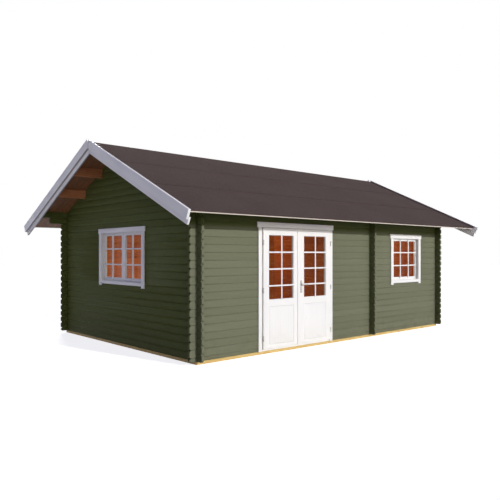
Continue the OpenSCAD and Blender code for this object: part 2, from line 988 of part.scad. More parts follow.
module sash_glass(x, z) {
    middle = sash_y0 + sash_t / 2;
    inset = sash_w - groove_d + fit;
    block(
        [x[0] + inset, x[1] - inset],
        [middle - glass_t / 2, middle + glass_t / 2],
        [z[0] + inset, z[1] - inset]
    );
}

module window_trim(w, z) {
    y = [-trim_t - fit, -fit];
    edge = w / 2 + trim_lap;
    inner = edge - window_trim_w;
    head_z = z + window_h + trim_lap - head_trim_h;
    sill_z = z - sill_trim_drop;
    block([-edge, -inner], y, [sill_z - trim_ear, head_z - fit]);
    block([inner, edge], y, [sill_z - trim_ear, head_z - fit]);
    block([-edge - head_trim_out, edge + head_trim_out], y, [head_z, head_z + head_trim_h]);
    block([-inner + fit, inner - fit], y, [sill_z, sill_z + sill_trim_h]);
}

module at_front_window() {
    at_front()
        translate([front_window_x, 0, 0])
            children();
}

module front_window_frame() {
    color(white_paint)
        at_front_window()
            window_frame(front_window_w, front_window_z);
}

module front_window_sash() {
    color(white_paint)
        at_front_window()
            sash(sash_spans(front_window_w, 1)[0], sash_z(front_window_z));
}

module front_window_glass() {
    color(pane)
        at_front_window()
            sash_glass(sash_spans(front_window_w, 1)[0], sash_z(front_window_z));
}

module front_window_trim() {
    color(white_paint)
        at_front_window()
            window_trim(front_window_w, front_window_z);
}

module at_gable_window() {
    at_left_gable()
        translate([gable_window_off, 0, 0])
            children();
}

module gable_window_frame() {
    color(white_paint)
        at_gable_window()
            window_frame(gable_window_w, gable_window_z);
}

module gable_window_sashes() {
    color(white_paint)
        at_gable_window()
            for (x = sash_spans(gable_window_w, 2))
                sash(x, sash_z(gable_window_z));
}

module gable_window_glass() {
    color(pane)
        at_gable_window()
            for (x = sash_spans(gable_window_w, 2))
                sash_glass(x, sash_z(gable_window_z));
}

module gable_window_trim() {
    color(white_paint)
        at_gable_window()
            window_trim(gable_window_w, gable_window_z);
}

foundation_beams();
floor_joists();
floor_boards();
front_wall_left_logs();
front_wall_right_logs();
front_wall_top_logs();
back_wall_logs();
left_gable_logs();
left_gable_peak_logs();
right_gable_logs();
right_gable_peak_logs();
partition_logs();
partition_peak_logs();
ridge_purlin();
side_purlins();
front_roof_boards();
back_roof_boards();
front_roof_felt();
back_roof_felt();
eave_battens();
left_barge_boards();
right_barge_boards();
inner_barge_boards();
door_frame();
door_stops();
door_trim();
frame_hinge_halves();
left_door_leaf();
left_door_panel();
left_door_glass();
left_door_hinge_halves();
right_door_leaf();
right_door_panel();
right_door_glass();
right_door_hinge_halves();
handle_plates();
door_lever();
front_window_frame();
front_window_sash();
front_window_glass();
front_window_trim();
gable_window_frame();
gable_window_sashes();
gable_window_glass();
gable_window_trim();
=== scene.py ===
# Looks of a garden log cabin: painted log walls, white joinery, a glazed double door and a felted roof.
# Metres. The ground is z = 0 under the middle of the cabin, the front faces -Y, +Z is up.
import json
import math

import bmesh
import bpy
from mathutils import Matrix, Vector


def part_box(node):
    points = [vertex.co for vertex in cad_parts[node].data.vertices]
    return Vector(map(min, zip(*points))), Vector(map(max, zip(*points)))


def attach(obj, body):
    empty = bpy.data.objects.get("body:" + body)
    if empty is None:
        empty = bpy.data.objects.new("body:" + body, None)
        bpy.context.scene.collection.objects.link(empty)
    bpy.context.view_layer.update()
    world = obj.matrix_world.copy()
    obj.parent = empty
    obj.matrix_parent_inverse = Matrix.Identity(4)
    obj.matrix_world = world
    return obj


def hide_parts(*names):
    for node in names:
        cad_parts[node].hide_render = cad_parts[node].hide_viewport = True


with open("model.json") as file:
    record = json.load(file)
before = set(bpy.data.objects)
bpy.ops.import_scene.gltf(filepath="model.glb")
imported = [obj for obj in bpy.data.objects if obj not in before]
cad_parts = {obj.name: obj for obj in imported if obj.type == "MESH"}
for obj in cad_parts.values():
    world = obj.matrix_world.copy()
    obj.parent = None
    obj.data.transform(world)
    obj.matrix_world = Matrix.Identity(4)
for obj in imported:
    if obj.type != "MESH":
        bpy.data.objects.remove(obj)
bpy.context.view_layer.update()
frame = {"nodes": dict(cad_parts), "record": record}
record = frame["record"]
BODY_OF = {node: body for body, nodes in record["behaviour"]["bodies"].items() for node in nodes}

# Sizes of the building that its boxes don't give
PITCH = math.radians(24.8)
EAVE_OVERHANG = 0.550
COURSE = 0.114
ROOF_T = 0.018
FELT_T = 0.0043
FELT_STRIPS = 3
SEAT = 0.0087
BARREL_H = 0.040

# Sizes that the frame gives
beams_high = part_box("foundation_beams")[1]
HALF_LEN = beams_high.x
HALF_DEP = beams_high.y
BEAM_TOP = beams_high.z
peak_low, peak_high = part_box("right_gable_peak_logs")
LOG_T = peak_high.x - peak_low.x
boards_low, boards_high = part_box("front_roof_boards")
ROOF_HALF = boards_high.x
SLOPE_LEN = (HALF_DEP + EAVE_OVERHANG) / math.cos(PITCH)

# Boards with V joints, and the felt turned up at the ends of the roof
ROOF_BOARD_W = 0.096
ROOF_V = 0.004
RIDGE_SPARE = 0.1
FLOOR_BOARD_W = 0.121
FLOOR_V = 0.0015
UPSTAND_H = 0.031
UPSTAND_STOP = 0.05

# Lower panels of the door leaves
PANEL_BOARDS = 9
PANEL_V = 0.002
PANEL_T = 0.016
FIELD_GAP = 0.002
FIELD_BEVEL_W = 0.018
FIELD_BEVEL_D = 0.010
MOULDING_W = 0.022
MOULDING_SETBACK = 0.003
MOULDING_EDGE = 0.009

# Small metal parts of the door
SCREW_R = 0.0045
SCREW_PROUD = 0.0015
SCREW_INSET = 0.014
CYLINDER_R = 0.0085
CYLINDER_PROUD = 0.004
CYLINDER_RISE = 0.060
CAP_R = 0.0062
CAP_PROUD = 0.003

# Beads that hold the glass
BEAD_W = 0.005
BEAD_SETBACK = 0.006
BEAD_FOOT = 0.002
BEAD_EDGE = 0.004

# Glazing bars: their section, how far they stand proud of the sash, and their places from the middle
GRILLE_W = 0.025
GRILLE_LAP = 0.018
GRILLE_EDGE = 0.003
DOOR_GRILLE_PROUD = 0.008
DOOR_GRILLE_ROWS = (-0.291, -0.027, 0.238)
WINDOW_GRILLE_PROUD = 0.021
FRONT_GRILLE_COLUMNS = (-0.1425, 0.1425)
FRONT_GRILLE_ROWS = (-0.1295, 0.1295)
GABLE_GRILLE_COLUMN = 0.342
GABLE_GRILLE_ROWS = (-0.134, 0.134)

# How far the sharp edges are rounded over
LOG_EDGE = 0.001
JOINERY_EDGE = 0.0025
BEAM_EDGE = 0.003
FELT_EDGE = 0.001
PLATE_EDGE = 0.0015
HINGE_EDGE = 0.001
LEVER_EDGE = 0.0004

# How a CAD node's loose triangles become a mesh with clean edges, and which edges stay sharp
WELD_DIST = 0.00002
FLAT_ANGLE = math.radians(1)
CORNER_ANGLE = math.radians(25)
SMOOTH_ANGLE = math.radians(35)

# Where painted light changes: height of the painted eave shadow on the front wall, and limits of the way a
# face looks
EAVE_SHADE = (1.90, 2.02)
FACES_FRONT = (-0.6, -0.2)
FACES_LEFT = (-0.9, -0.6)
FACES_DOWN = (-0.8, -0.5)

# Limits between which noise, waves and distances turn into grain, knots, soil, grit and dull spots
NOISE_SHOWN = (0.3, 0.7)
RING_WAVES = 70.0
KNOT_RIM = (0.035, 0.075)
SPLASH_REACH = (0.04, 0.5)
SPLASH_SHOWN = (0.4, 0.75)
GRIT_SHOWN = (0.55, 1.0)
DULL_SHOWN = (0.35, 0.7)

# Noise is drawn out along the timber's grain, and along the brush lines of the steel
ALONG_GRAIN = 0.05
ALONG_BRUSH = 0.04

# Roughness, from the least to the most
LOG_ROUGHNESS = (0.55, 0.72)
PAINT_ROUGHNESS = (0.38, 0.5)
PINE_ROUGHNESS = (0.5, 0.66)
FELT_ROUGHNESS = (0.82, 0.96)
GLASS_ROUGHNESS = (0.0, 0.04)
STEEL_ROUGHNESS = (0.28, 0.45)
FLOOR_ROUGHNESS = 0.9

# Relief: its strength and its depth
LOG_RELIEF = (0.25, 0.0006)
PAINT_RELIEF = (0.15, 0.0004)
PINE_RELIEF = (0.3, 0.0006)
FELT_RELIEF = (0.5, 0.0015)
STEEL_RELIEF = (0.15, 0.0003)

# Gloss of the matt finishes, and how much the glass bends light
LOG_GLOSS = 0.1
FELT_GLOSS = 0.08
GLASS_IOR = 1.12

# Shares in which tones, grain, dirt and painted light are mixed into the finishes
# Share of painted sunlight that side faces in front of the wall take
SIDE_PAINTED_SUN = 0.34
PINE_RINGS = 0.55
PINE_FIBRE = 0.25
PINE_TONE = 0.35
STAIN_FIBRE = 0.3
STAIN_KNOTS = 0.35
STAIN_SPLASH = 0.3
PAINT_SPLASH = 0.25
PAINT_PATCHES = 0.12
PAINT_KNOTS = 0.15
FELT_PATCHES = 0.3
FELT_MOTTLE = 0.7
FELT_SPECKLE = 0.6
# Painted shade and dirt below each lap of the felt: its share and width
LAP_SHADE_AND_DIRT = 0.45
LAP_SHADE_AND_DIRT_W = 0.02


def srgb(red, green, blue):
    """A colour as it looks on screen, 0 to 255, in the linear values that shaders take."""
    shares = [c / 255 for c in (red, green, blue)]
    linear = [s / 12.92 if s <= 0.04045 else ((s + 0.055) / 1.055) ** 2.4 for s in shares]
    return (*linear, 1.0)


# Finishes
OLIVE_LIGHT = srgb(78, 86, 44)
OLIVE_DARK = srgb(75, 82, 41)
OLIVE_GRAIN = srgb(62, 68, 33)
# Painted sunlight: lighter, greyer copies of the olive stain, for the sunlit face of the front wall
PAINTED_SUN_LIGHT = srgb(117, 120, 98)
PAINTED_SUN_DARK = srgb(112, 115, 93)
PAINTED_SUN_GRAIN = srgb(95, 99, 77)
WHITE_CLEAN = srgb(240, 240, 238)
WHITE_SOILED = srgb(222, 219, 212)
CREAM_CLEAN = srgb(232, 222, 204)
PINE_PALE = srgb(230, 206, 134)
PINE_DEEP = srgb(198, 160, 90)
PINE_KNOT = srgb(112, 66, 32)
ROOM_PALE = srgb(224, 138, 52)
ROOM_DEEP = srgb(180, 92, 30)
PURLIN_PALE = srgb(190, 128, 84)
PURLIN_DEEP = srgb(146, 88, 52)
# Roof boards: a dark brown stain, darkened further as painted shade under the roof
SOFFIT_SHADED_PALE = srgb(132, 86, 48)
SOFFIT_SHADED_DEEP = srgb(92, 56, 29)
FELT_LIGHT = srgb(94, 80, 75)
FELT_DARK = srgb(76, 64, 59)
FELT_GRIT = srgb(108, 95, 89)
# Painted shade and dirt below each lap of the felt
FELT_SHADE_AND_DIRT = srgb(48, 42, 40)
# Painted light: a paler felt for faces that look left, which lie in shade
FELT_PAINTED_LIGHT = srgb(148, 130, 125)
STEEL = srgb(204, 200, 194)
STEEL_DULL = srgb(160, 155, 148)
SPLASH_DIRT = srgb(92, 84, 66)
# Painted shade on the undersides of the white paint
UNDERSIDE_SHADE_PAINT = srgb(150, 146, 150)
GLASS = srgb(246, 250, 249)

# Light: the sky, each sun lamp's rays, strength and width in degrees, and each room lamp's place and power
WHITE = (1.0, 1.0, 1.0, 1.0)
SKY_COOL = (0.02, 0.035, 0.18, 1.0)
SKY_SUNWARD = (2.5, 2.34, 1.98, 1.0)
SUNWARD = (-0.95, -0.3)
NEAR_GROUND = (0.1, 0.48)
SUN_LAMPS = {
    "sun": ((-0.2, 0.934, -0.296), 1.88, 1.2),
    "back_light": ((-0.35, -0.85, -0.35), 1.7, 10.0),
}
ROOM_LAMPS = {
    "left_room_lamp": ((-1.9, 0.3, 1.0), 39.0),
    "right_room_lamp": ((2.0, 0.0, 2.3), 56.0),
}
ROOM_LAMP_R = 0.3
ROOM_LAMP_COLOUR = (1.0, 0.86, 0.7)

# Floor and camera
FLOOR_HALF = 60.0
FLOOR_DROP = 0.001
FLOOR_COLOUR = (0.88, 0.84, 0.77, 1.0)
FLOOR_GLOW = 0.79
LENS_MM = 40.0
SENSOR_MM = 36.0
LENS_SHIFT = 0.007
VIEW_REACH = 200.0
EYE = (-7.838, -8.523, 1.57)
EYE_TURN = math.radians(-41.648)
LEVEL = math.radians(90)


# Building blocks for shader trees

class Tree:
    """A node tree with short ways to add a node, a sum, a mix or a ramp."""

    def __init__(self, tree):
        self.tree = tree

    def add(self, kind, inputs=None, **settings):
        made = self.tree.nodes.new(kind)
        for name, value in settings.items():
            setattr(made, name, value)
        for key, value in (inputs or {}).items():
            self.feed(made.inputs[key], value)
        return made

    def feed(self, socket, value):
        if isinstance(value, bpy.types.NodeSocket):
            self.tree.links.new(value, socket)
        else:
            socket.default_value = value

    def math(self, operation, a, b=0.0):
        return self.add("ShaderNodeMath", {0: a, 1: b}, operation=operation).outputs[0]

    def total(self, *parts):
        """The sum of values, each taken in its own share."""
        shares = [self.math("MULTIPLY", value, share) for value, share in parts]
        whole = shares[0]
        for share in shares[1:]:
            whole = self.math("ADD", whole, share)
        return whole

    def mix(self, factor, a, b):
        made = self.add("ShaderNodeMix", {0: factor, 6: a, 7: b}, data_type="RGBA")
        return made.outputs[2]

    def span(self, value, low, high, to_low=0.0, to_high=1.0):
        made = self.add("ShaderNodeMapRange", {
            "Value": value, "From Min": low, "From Max": high, "To Min": to_low, "To Max": to_high,
        }, interpolation_type="SMOOTHSTEP")
        return made.outputs["Result"]

    def group(self, tree, inputs):
        made = self.add("ShaderNodeGroup", None, node_tree=tree)
        for key, value in inputs.items():
            self.feed(made.inputs[key], value)
        return made.outputs


def new_group(name, inputs, outputs):
    """An empty shader group with named sockets: its tree, its input sockets and its output node."""
    tree = bpy.data.node_groups.new(name, "ShaderNodeTree")
    for socket, kind in inputs.items():
        tree.interface.new_socket(name=socket, in_out="INPUT", socket_type=kind)
    for socket, kind in outputs.items():
        tree.interface.new_socket(name=socket, in_out="OUTPUT", socket_type=kind)
    work = Tree(tree)
    return work, work.add("NodeGroupInput").outputs, work.add("NodeGroupOutput")


VECTOR = "NodeSocketVector"
FLOAT = "NodeSocketFloat"


def grain_group():
    """Fibres, year rings and knots of sawn timber. Grain is stretched along the timber, Place isn't."""
    work, given, out = new_group(
        "timber_grain", {"Grain": VECTOR, "Place": VECTOR},
        {"Fibre": FLOAT, "Rings": FLOAT, "Knots": FLOAT})
    fibre = work.add("ShaderNodeTexNoise", {
        "Vector": given["Grain"], "Scale": 240.0, "Detail": 5.0, "Roughness": 0.6})
    drift = work.add("ShaderNodeTexNoise", {
        "Vector": given["Grain"], "Scale": 16.0, "Detail": 2.0, "Roughness": 0.5})
    waves = work.math("SINE", work.math("MULTIPLY", drift.outputs["Fac"], RING_WAVES))
    cells = work.add("ShaderNodeTexVoronoi", {"Vector": given["Place"], "Scale": 3.1, "Randomness": 1.0})
    work.feed(out.inputs["Fibre"], work.span(fibre.outputs["Fac"], *NOISE_SHOWN))
    work.feed(out.inputs["Rings"], work.span(waves, -1.0, 1.0))
    work.feed(out.inputs["Knots"], work.span(cells.outputs["Distance"], *KNOT_RIM, 1.0, 0.0))
    return work.tree


def tone_group():
    """One random value for each log or board: Across is one over their width, along the wall they make."""
    work, given, out = new_group(
        "timber_tone", {"Place": VECTOR, "Across": VECTOR, "Offset": FLOAT}, {"Tone": FLOAT})
    count = work.add("ShaderNodeVectorMath", {0: given["Place"], 1: given["Across"]}, operation="DOT_PRODUCT")
    number = work.math("FLOOR", work.math("ADD", count.outputs["Value"], given["Offset"]))
    draw = work.add("ShaderNodeTexWhiteNoise", {"W": number}, noise_dimensions="1D")
    work.feed(out.inputs["Tone"], draw.outputs["Value"])
    return work.tree


def weather_group():
    """Soil splashed up from the ground, and broad patches where the finish has faded."""
    work, given, out = new_group("weather", {"Place": VECTOR}, {"Splash": FLOAT, "Patches": FLOAT})
    height = work.add("ShaderNodeSeparateXYZ", {0: given["Place"]}).outputs["Z"]
    ragged = work.add("ShaderNodeTexNoise", {"Vector": given["Place"], "Scale": 9.0, "Detail": 4.0})
    broad = work.add("ShaderNodeTexNoise", {"Vector": given["Place"], "Scale": 1.4, "Detail": 3.0})
    low = work.span(height, *SPLASH_REACH, 1.0, 0.0)
    spots = work.span(ragged.outputs["Fac"], *SPLASH_SHOWN)
    work.feed(out.inputs["Splash"], work.math("MULTIPLY", low, spots))
    work.feed(out.inputs["Patches"], work.span(broad.outputs["Fac"], *NOISE_SHOWN))
    return work.tree


GRAIN = grain_group()
TONE = tone_group()
WEATHER = weather_group()

STRETCH = {"x": (ALONG_GRAIN, 1.0, 1.0), "y": (1.0, ALONG_GRAIN, 1.0), "z": (1.0, 1.0, ALONG_GRAIN)}


def new_material(name):
    """A material, its tree, its Principled shader and the object's own coordinates."""
    made = bpy.data.materials.new(name)
    made.use_nodes = True
    work = Tree(made.node_tree)
    shader = made.node_tree.nodes["Principled BSDF"]
    return made, work, shader, work.add("ShaderNodeTexCoord").outputs["Object"]


def timber(work, place, axis):
    """The grain's outputs for timber that lies along an axis."""
    stretched = work.add("ShaderNodeMapping", {"Vector": place, "Scale": STRETCH[axis]})
    return work.group(GRAIN, {"Grain": stretched.outputs["Vector"], "Place": place})


def relief(work, shader, height, strength, distance):
    """Raises the surface by a height that changes over it."""
    bump = work.add("ShaderNodeBump", {"Height": height, "Strength": strength, "Distance": distance})
    work.feed(shader.inputs["Normal"], bump.outputs["Normal"])


def facing(work):
    """Which way the surface looks, as X, Y and Z of its outward direction."""
    outward = work.add("ShaderNodeTexCoord").outputs["Normal"]
    return work.add("ShaderNodeSeparateXYZ", {0: outward}).outputs


def pine_colour(work, grain, tone, pale, deep):
    """Bare timber: rings and fibres between two tones, with dark knots."""
    shade = work.total((grain["Rings"], PINE_RINGS), (grain["Fibre"], PINE_FIBRE), (tone, PINE_TONE))
    return work.mix(grain["Knots"], work.mix(shade, pale, deep), PINE_KNOT)


def painted_log(axis, offset):
    """Logs stained olive, with painted sunlight on the front wall below the eave line and painted eave shadow
    above it, bare pine inside.
    """
    made, work, shader, place = new_material("painted_log_" + axis)
    grain = timber(work, place, axis)
    tone = work.group(TONE, {"Place": place, "Across": (0.0, 0.0, 1 / COURSE), "Offset": offset})["Tone"]
    weather = work.group(WEATHER, {"Place": place})
    where = work.add("ShaderNodeSeparateXYZ", {0: place}).outputs
    # Painted light: on the front wall, faces that look front take the lighter copies as painted sunlight and
    # side faces take a share of it. Above the eave line the olive stays as painted eave shadow.
    front_wall = work.math("LESS_THAN", where["Y"], LOG_T / 2 - HALF_DEP)
    sun_facing_paint = work.span(facing(work)["Y"], *FACES_FRONT, 1.0, SIDE_PAINTED_SUN)
    below_eave = work.span(where["Z"], *EAVE_SHADE, 1.0, 0.0)
    sunlit = work.math("MULTIPLY", work.math("MULTIPLY", front_wall, sun_facing_paint), below_eave)
    light = work.mix(sunlit, OLIVE_LIGHT, PAINTED_SUN_LIGHT)
    dark = work.mix(sunlit, OLIVE_DARK, PAINTED_SUN_DARK)
    stain = work.mix(tone, light, dark)
    worn = work.total((grain["Fibre"], STAIN_FIBRE), (grain["Knots"], STAIN_KNOTS))
    stain = work.mix(worn, stain, work.mix(sunlit, OLIVE_GRAIN, PAINTED_SUN_GRAIN))
    stain = work.mix(work.math("MULTIPLY", weather["Splash"], STAIN_SPLASH), stain, SPLASH_DIRT)
    bare = pine_colour(work, grain, tone, ROOM_PALE, ROOM_DEEP)
    inside_x = work.math("LESS_THAN", work.math("ABSOLUTE", where["X"]), HALF_LEN - LOG_T / 2)
    inside_y = work.math("LESS_THAN", work.math("ABSOLUTE", where["Y"]), HALF_DEP - LOG_T / 2)
    inside = work.math("MULTIPLY", inside_x, inside_y)
    work.feed(shader.inputs["Base Color"], work.mix(inside, stain, bare))
    work.feed(shader.inputs["Roughness"], work.span(grain["Fibre"], 0.0, 1.0, *LOG_ROUGHNESS))
    shader.inputs["Specular IOR Level"].default_value = LOG_GLOSS
    relief(work, shader, work.math("ADD", grain["Fibre"], grain["Rings"]), *LOG_RELIEF)
    return made


def white_wood(name, axis, clean):
    """Opaque pale paint on planed timber: grain shows as relief, and undersides get painted shade."""
    made, work, shader, place = new_material(name)
    grain = timber(work, place, axis)
    weather = work.group(WEATHER, {"Place": place})
    soil = work.total((weather["Splash"], PAINT_SPLASH), (weather["Patches"], PAINT_PATCHES),
                      (grain["Knots"], PAINT_KNOTS))
    paint = work.mix(soil, clean, WHITE_SOILED)
    # Painted shade: faces that look down take a greyer white.
    underside_shade = work.span(facing(work)["Z"], *FACES_DOWN, 1.0, 0.0)
    work.feed(shader.inputs["Base Color"], work.mix(underside_shade, paint, UNDERSIDE_SHADE_PAINT))
    work.feed(shader.inputs["Roughness"], work.span(weather["Patches"], 0.0, 1.0, *PAINT_ROUGHNESS))
    relief(work, shader, work.math("ADD", grain["Fibre"], grain["Rings"]), *PAINT_RELIEF)
    return made


def bare_pine(name, axis, pale, deep, board_w=math.inf):
    """Planed timber without paint; a width of boards along X gives each its own tone."""
    made, work, shader, place = new_material(name)
    grain = timber(work, place, axis)
    tone = work.group(TONE, {"Place": place, "Across": (1 / board_w, 0.0, 0.0), "Offset": 0.5})["Tone"]
    work.feed(shader.inputs["Base Color"], pine_colour(work, grain, tone, pale, deep))
    work.feed(shader.inputs["Roughness"], work.span(grain["Rings"], 0.0, 1.0, *PINE_ROUGHNESS))
    relief(work, shader, work.math("ADD", grain["Fibre"], grain["Rings"]), *PINE_RELIEF)
    return made


def roofing_felt():
    """Bitumen felt with mineral grit, faded in patches, with painted light on faces that look left and
    painted shade and dirt below each lap.
    """
    made, work, shader, place = new_material("roof_felt")
    patches = work.group(WEATHER, {"Place": place})["Patches"]
    mottle = work.add("ShaderNodeTexNoise", {"Vector": place, "Scale": 34.0, "Detail": 3.0, "Roughness": 0.7})
    grit = work.add("ShaderNodeTexVoronoi", {"Vector": place, "Scale": 420.0})
    speckle = work.add("ShaderNodeSeparateColor", {0: grit.outputs["Color"]}).outputs["Red"]
    spots = work.span(mottle.outputs["Fac"], *NOISE_SHOWN)
    worn = work.total((patches, FELT_PATCHES), (spots, FELT_MOTTLE))
    colour = work.mix(worn, FELT_DARK, FELT_LIGHT)
    specks = work.math("MULTIPLY", work.span(speckle, *GRIT_SHOWN), FELT_SPECKLE)
    colour = work.mix(specks, colour, FELT_GRIT)
    level = work.math("ABSOLUTE", work.add("ShaderNodeSeparateXYZ", {0: place}).outputs["Y"])
    # Painted shade and dirt: a darker strip just below each lap of the felt.
    strip = -boards_low.y / FELT_STRIPS
    past_lap = work.math("MULTIPLY", work.math("FRACT", work.math("DIVIDE", level, strip)), strip)
    below_lap = work.math("MULTIPLY", work.span(past_lap, 0.0, LAP_SHADE_AND_DIRT_W, 1.0, 0.0),
                          work.math("GREATER_THAN", level, strip / 2))
    colour = work.mix(work.math("MULTIPLY", below_lap, LAP_SHADE_AND_DIRT), colour, FELT_SHADE_AND_DIRT)
    # Painted light: faces that look left take a paler felt.
    looks_left = work.span(facing(work)["X"], *FACES_LEFT, 1.0, 0.0)
    work.feed(shader.inputs["Base Color"], work.mix(looks_left, colour, FELT_PAINTED_LIGHT))
    work.feed(shader.inputs["Roughness"], work.span(speckle, 0.0, 1.0, *FELT_ROUGHNESS))
    shader.inputs["Specular IOR Level"].default_value = FELT_GLOSS
    relief(work, shader, grit.outputs["Distance"], *FELT_RELIEF)
    return made


def window_glass():
    """Clear float glass with a faint film of dust."""
    made, work, shader, place = new_material("window_glass")
    patches = work.group(WEATHER, {"Place": place})["Patches"]
    shader.inputs["Base Color"].default_value = GLASS
    shader.inputs["Transmission Weight"].default_value = 1.0
    shader.inputs["IOR"].default_value = GLASS_IOR
    work.feed(shader.inputs["Roughness"], work.span(patches, 0.0, 1.0, *GLASS_ROUGHNESS))
    return made


def satin_steel():
    """Brushed steel of the hinges and the handle, duller where hands and weather touch it."""
    made, work, shader, place = new_material("satin_steel")
    brushed = work.add("ShaderNodeMapping", {"Vector": place, "Scale": (1.0, 1.0, ALONG_BRUSH)})
    lines = work.add("ShaderNodeTexNoise", {
        "Vector": brushed.outputs["Vector"], "Scale": 900.0, "Detail": 2.0})
    dull = work.add("ShaderNodeTexNoise", {"Vector": place, "Scale": 40.0, "Detail": 3.0})
    faded = work.span(dull.outputs["Fac"], *DULL_SHOWN)
    work.feed(shader.inputs["Base Color"], work.mix(faded, STEEL, STEEL_DULL))
    work.feed(shader.inputs["Roughness"], work.span(faded, 0.0, 1.0, *STEEL_ROUGHNESS))
    shader.inputs["Metallic"].default_value = 1.0
    relief(work, shader, lines.outputs["Fac"], *STEEL_RELIEF)
    return made


LOG_X = painted_log("x", 0.5 - BEAM_TOP / COURSE)
LOG_Y = painted_log("y", -BEAM_TOP / COURSE)
WHITE_UPRIGHT = white_wood("white_paint_upright", "z", WHITE_CLEAN)
WHITE_BARGE = white_wood("white_paint_barge", "y", WHITE_CLEAN)
CREAM_BATTEN = white_wood("white_paint_batten", "x", CREAM_CLEAN)
BEAM_PINE = bare_pine("bare_pine_beams", "x", PINE_PALE, PINE_DEEP)
PURLIN_PINE = bare_pine("bare_pine_purlins", "x", PURLIN_PALE, PURLIN_DEEP)
# The roof boards' tones carry painted shade as well as their stain.
ROOF_PINE = bare_pine("bare_pine_roof_boards", "y", SOFFIT_SHADED_PALE, SOFFIT_SHADED_DEEP, ROOF_BOARD_W)
FLOOR_PINE = bare_pine("bare_pine_floor_boards", "y", PINE_PALE, PINE_DEEP, FLOOR_BOARD_W)
FELT = roofing_felt()
PANE = window_glass()
METAL = satin_steel()


# Building blocks for meshes

def finish(name, bm, body, slot, material, *nodes):
    """The bmesh as a piece that rides on a body, with its finish, standing for CAD nodes."""
    for edge in bm.edges:
        edge.smooth = edge.is_manifold and edge.calc_face_angle() < SMOOTH_ANGLE
    for face in bm.faces:
        face.smooth = True
    mesh = bpy.data.meshes.new(name)
    bm.to_mesh(mesh)
    bm.free()
    mesh.materials.append(material)
    piece = bpy.data.objects.new(name, mesh)
    bpy.context.scene.collection.objects.link(piece)
    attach(piece, body)
    if nodes:
        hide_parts(*nodes)
    return piece


def round_over(bm, edges, width, segments=1):
    """Edges with one flat, or rounded in more segments."""
    bmesh.ops.bevel(bm, geom=edges, offset=width, offset_type="OFFSET", affect="EDGES", segments=segments,
                    profile=0.5, material=-1, clamp_overlap=True)


def eased_copy(name, node, slot, material, width, segments=1):
    """A copy of a CAD node with its outer edges rounded over, which stands for the node."""
    bm = bmesh.new()
    bm.from_mesh(frame["nodes"][node].data)
    bmesh.ops.remove_doubles(bm, verts=bm.verts, dist=WELD_DIST)
    bmesh.ops.dissolve_limit(bm, angle_limit=FLAT_ANGLE, verts=bm.verts, edges=bm.edges)
    sharp = [e for e in bm.edges if e.is_manifold and e.is_convex and e.calc_face_angle() > CORNER_ANGLE]
    round_over(bm, sharp, width, segments)
    return finish(name, bm, BODY_OF[node], slot, material, node)


def runs_along(edge, axis):
    """Whether an edge of a bar runs along X, Y or Z, which are 0, 1 and 2."""
    run = edge.verts[1].co - edge.verts[0].co
    return abs(run[axis]) == max(abs(part) for part in run)


def bar(bm, low, high, width, picks=lambda edge: True):
    """A squared bar between two corners, with the edges that are picked rounded over."""
    size = Vector(high) - Vector(low)
    middle = (Vector(high) + Vector(low)) / 2
    place = Matrix.Translation(middle) @ Matrix.Diagonal((*size, 1.0))
    made = bmesh.ops.create_cube(bm, size=1.0, matrix=place)["verts"]
    around = {e for v in made for e in v.link_edges}
    round_over(bm, [e for e in around if picks(e)], width)


def ring(bm, place, half_w, half_h, width, depth, chamfer):
    """A mitred frame lying on the XY plane of place, its inner top edge chamfered."""
    corners = [bm.verts.new((x * half_w, y * half_h, 0.0)) for x, y in ((-1, -1), (1, -1), (1, 1), (-1, 1))]
    sheet = bm.faces.new(corners)
    sheet.normal_update()
    rim = bmesh.ops.inset_individual(bm, faces=[sheet], thickness=width, use_even_offset=True)["faces"]
    bmesh.ops.delete(bm, geom=[sheet], context="FACES")
    raised = bmesh.ops.extrude_face_region(bm, geom=rim)["geom"]
    top = [v for v in raised if isinstance(v, bmesh.types.BMVert)]
    bmesh.ops.translate(bm, verts=top, vec=(0.0, 0.0, depth))
    island = set(top) | {v for f in rim for v in f.verts}
    bmesh.ops.recalc_face_normals(bm, faces=list({f for v in island for f in v.link_faces}))
    inner_w = half_w - width / 2
    inner_h = half_h - width / 2
    inner = {v for v in top if abs(v.co.x) < inner_w and abs(v.co.y) < inner_h}
    edges = [e for e in bm.edges if e.verts[0] in inner and e.verts[1] in inner]
    before = set(bm.verts) - island
    round_over(bm, edges, chamfer)
    bmesh.ops.transform(bm, matrix=place, verts=[v for v in bm.verts if v not in before])


def dome(bm, place, radius, height):
    """A low round head on the XY plane of place, such as a screw head or a hinge cap."""
    made = bmesh.ops.create_uvsphere(bm, u_segments=12, v_segments=6, radius=1.0)["verts"]
    flat = Matrix.Diagonal((radius, radius, height, 1.0))
    bmesh.ops.transform(bm, matrix=place @ flat, verts=made)


# Frames of reference of faces that hold joinery: x to the right, y up, z out of the face
FACING_FRONT = Matrix.Rotation(math.radians(90), 4, "X")
FACING_LEFT = Matrix.Rotation(math.radians(-90), 4, "Z") @ FACING_FRONT
FACING_BACK = Matrix.Rotation(math.pi, 4, "Z") @ FACING_FRONT


# Log walls

def log_walls():
    """Every wall's logs, with eased edges and their stain."""
    for node in ("front_wall_left_logs", "front_wall_right_logs", "front_wall_top_logs", "back_wall_logs"):
        eased_copy(node + "_stained", node, "painted_log", LOG_X, LOG_EDGE)
    for wall in ("left_gable", "right_gable", "partition"):
        for node in (wall + "_logs", wall + "_peak_logs"):
            eased_copy(node + "_stained", node, "painted_log", LOG_Y, LOG_EDGE)


# Base, floor and roof timbers

def board_row(bm, low, high, width, groove):
    """Boards side by side along X, each with its long edges chamfered into a V joint."""
    count = max(1, round((high.x - low.x) / width))
    step = (high.x - low.x) / count
    for i in range(count):
        x = low.x + i * step
        bar(bm, (x, low.y, low.z), (x + step, high.y, high.z), groove, lambda edge: runs_along(edge, 1))


